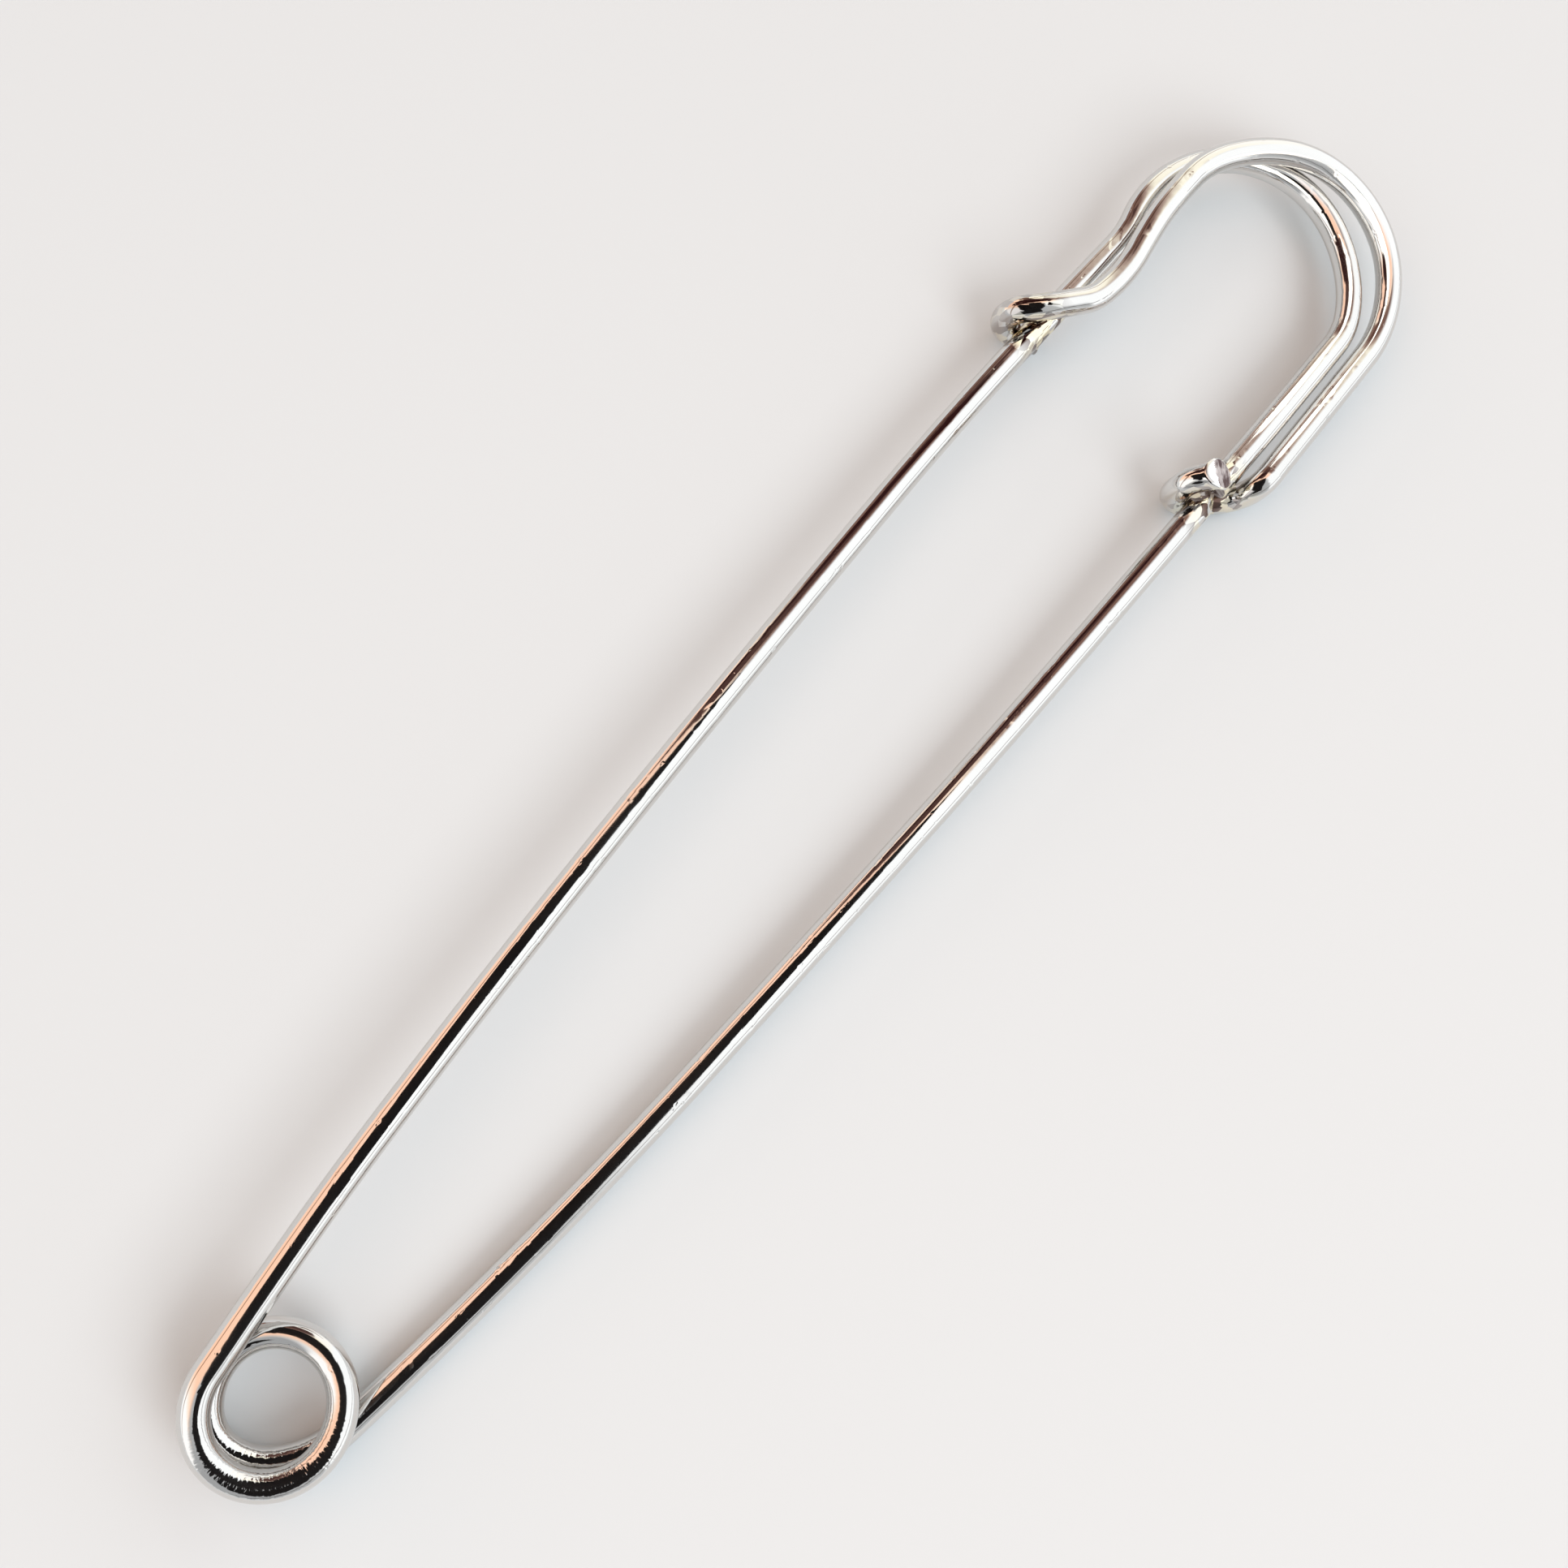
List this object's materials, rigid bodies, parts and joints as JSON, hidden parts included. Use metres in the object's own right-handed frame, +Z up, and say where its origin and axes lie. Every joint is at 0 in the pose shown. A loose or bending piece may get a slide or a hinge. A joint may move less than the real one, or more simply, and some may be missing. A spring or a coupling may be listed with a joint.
{
  "type": "kilt pin",
  "caption": "Large kilt pin bent from bright round wire, with an open spring coil, a ground point, a doubled bow head and a wire hook that catches the point.",
  "frame": {"origin": "on the table under the middle of the spring coil", "axes": "+X from the coil towards the head, +Y from the pin arm towards the fixed arm, +Z up, the closed pin lying flat"},
  "size_m": [0.1243, 0.0247, 0.0065],
  "materials": {
    "plated_wire": "bright silvery plating, smooth, with light scuffs"
  },
  "bodies": {
    "frame": {"fixed_arm": "plated_wire", "coil_spring": "plated_wire", "inner_bow": "plated_wire", "outer_bow": "plated_wire", "guard_wrap": "plated_wire", "catch_hook": "plated_wire"},
    "pin": {"pin_arm": "plated_wire"}
  },
  "joints": [
    {"name": "pin_open", "type": "hinge", "parent": "frame", "child": "pin", "pos_m": [0, 0, 0.001], "axis": [0, -0.1392, -0.9903], "range_deg": [0, 25], "deforming": ["coil_spring"]}
  ]
}
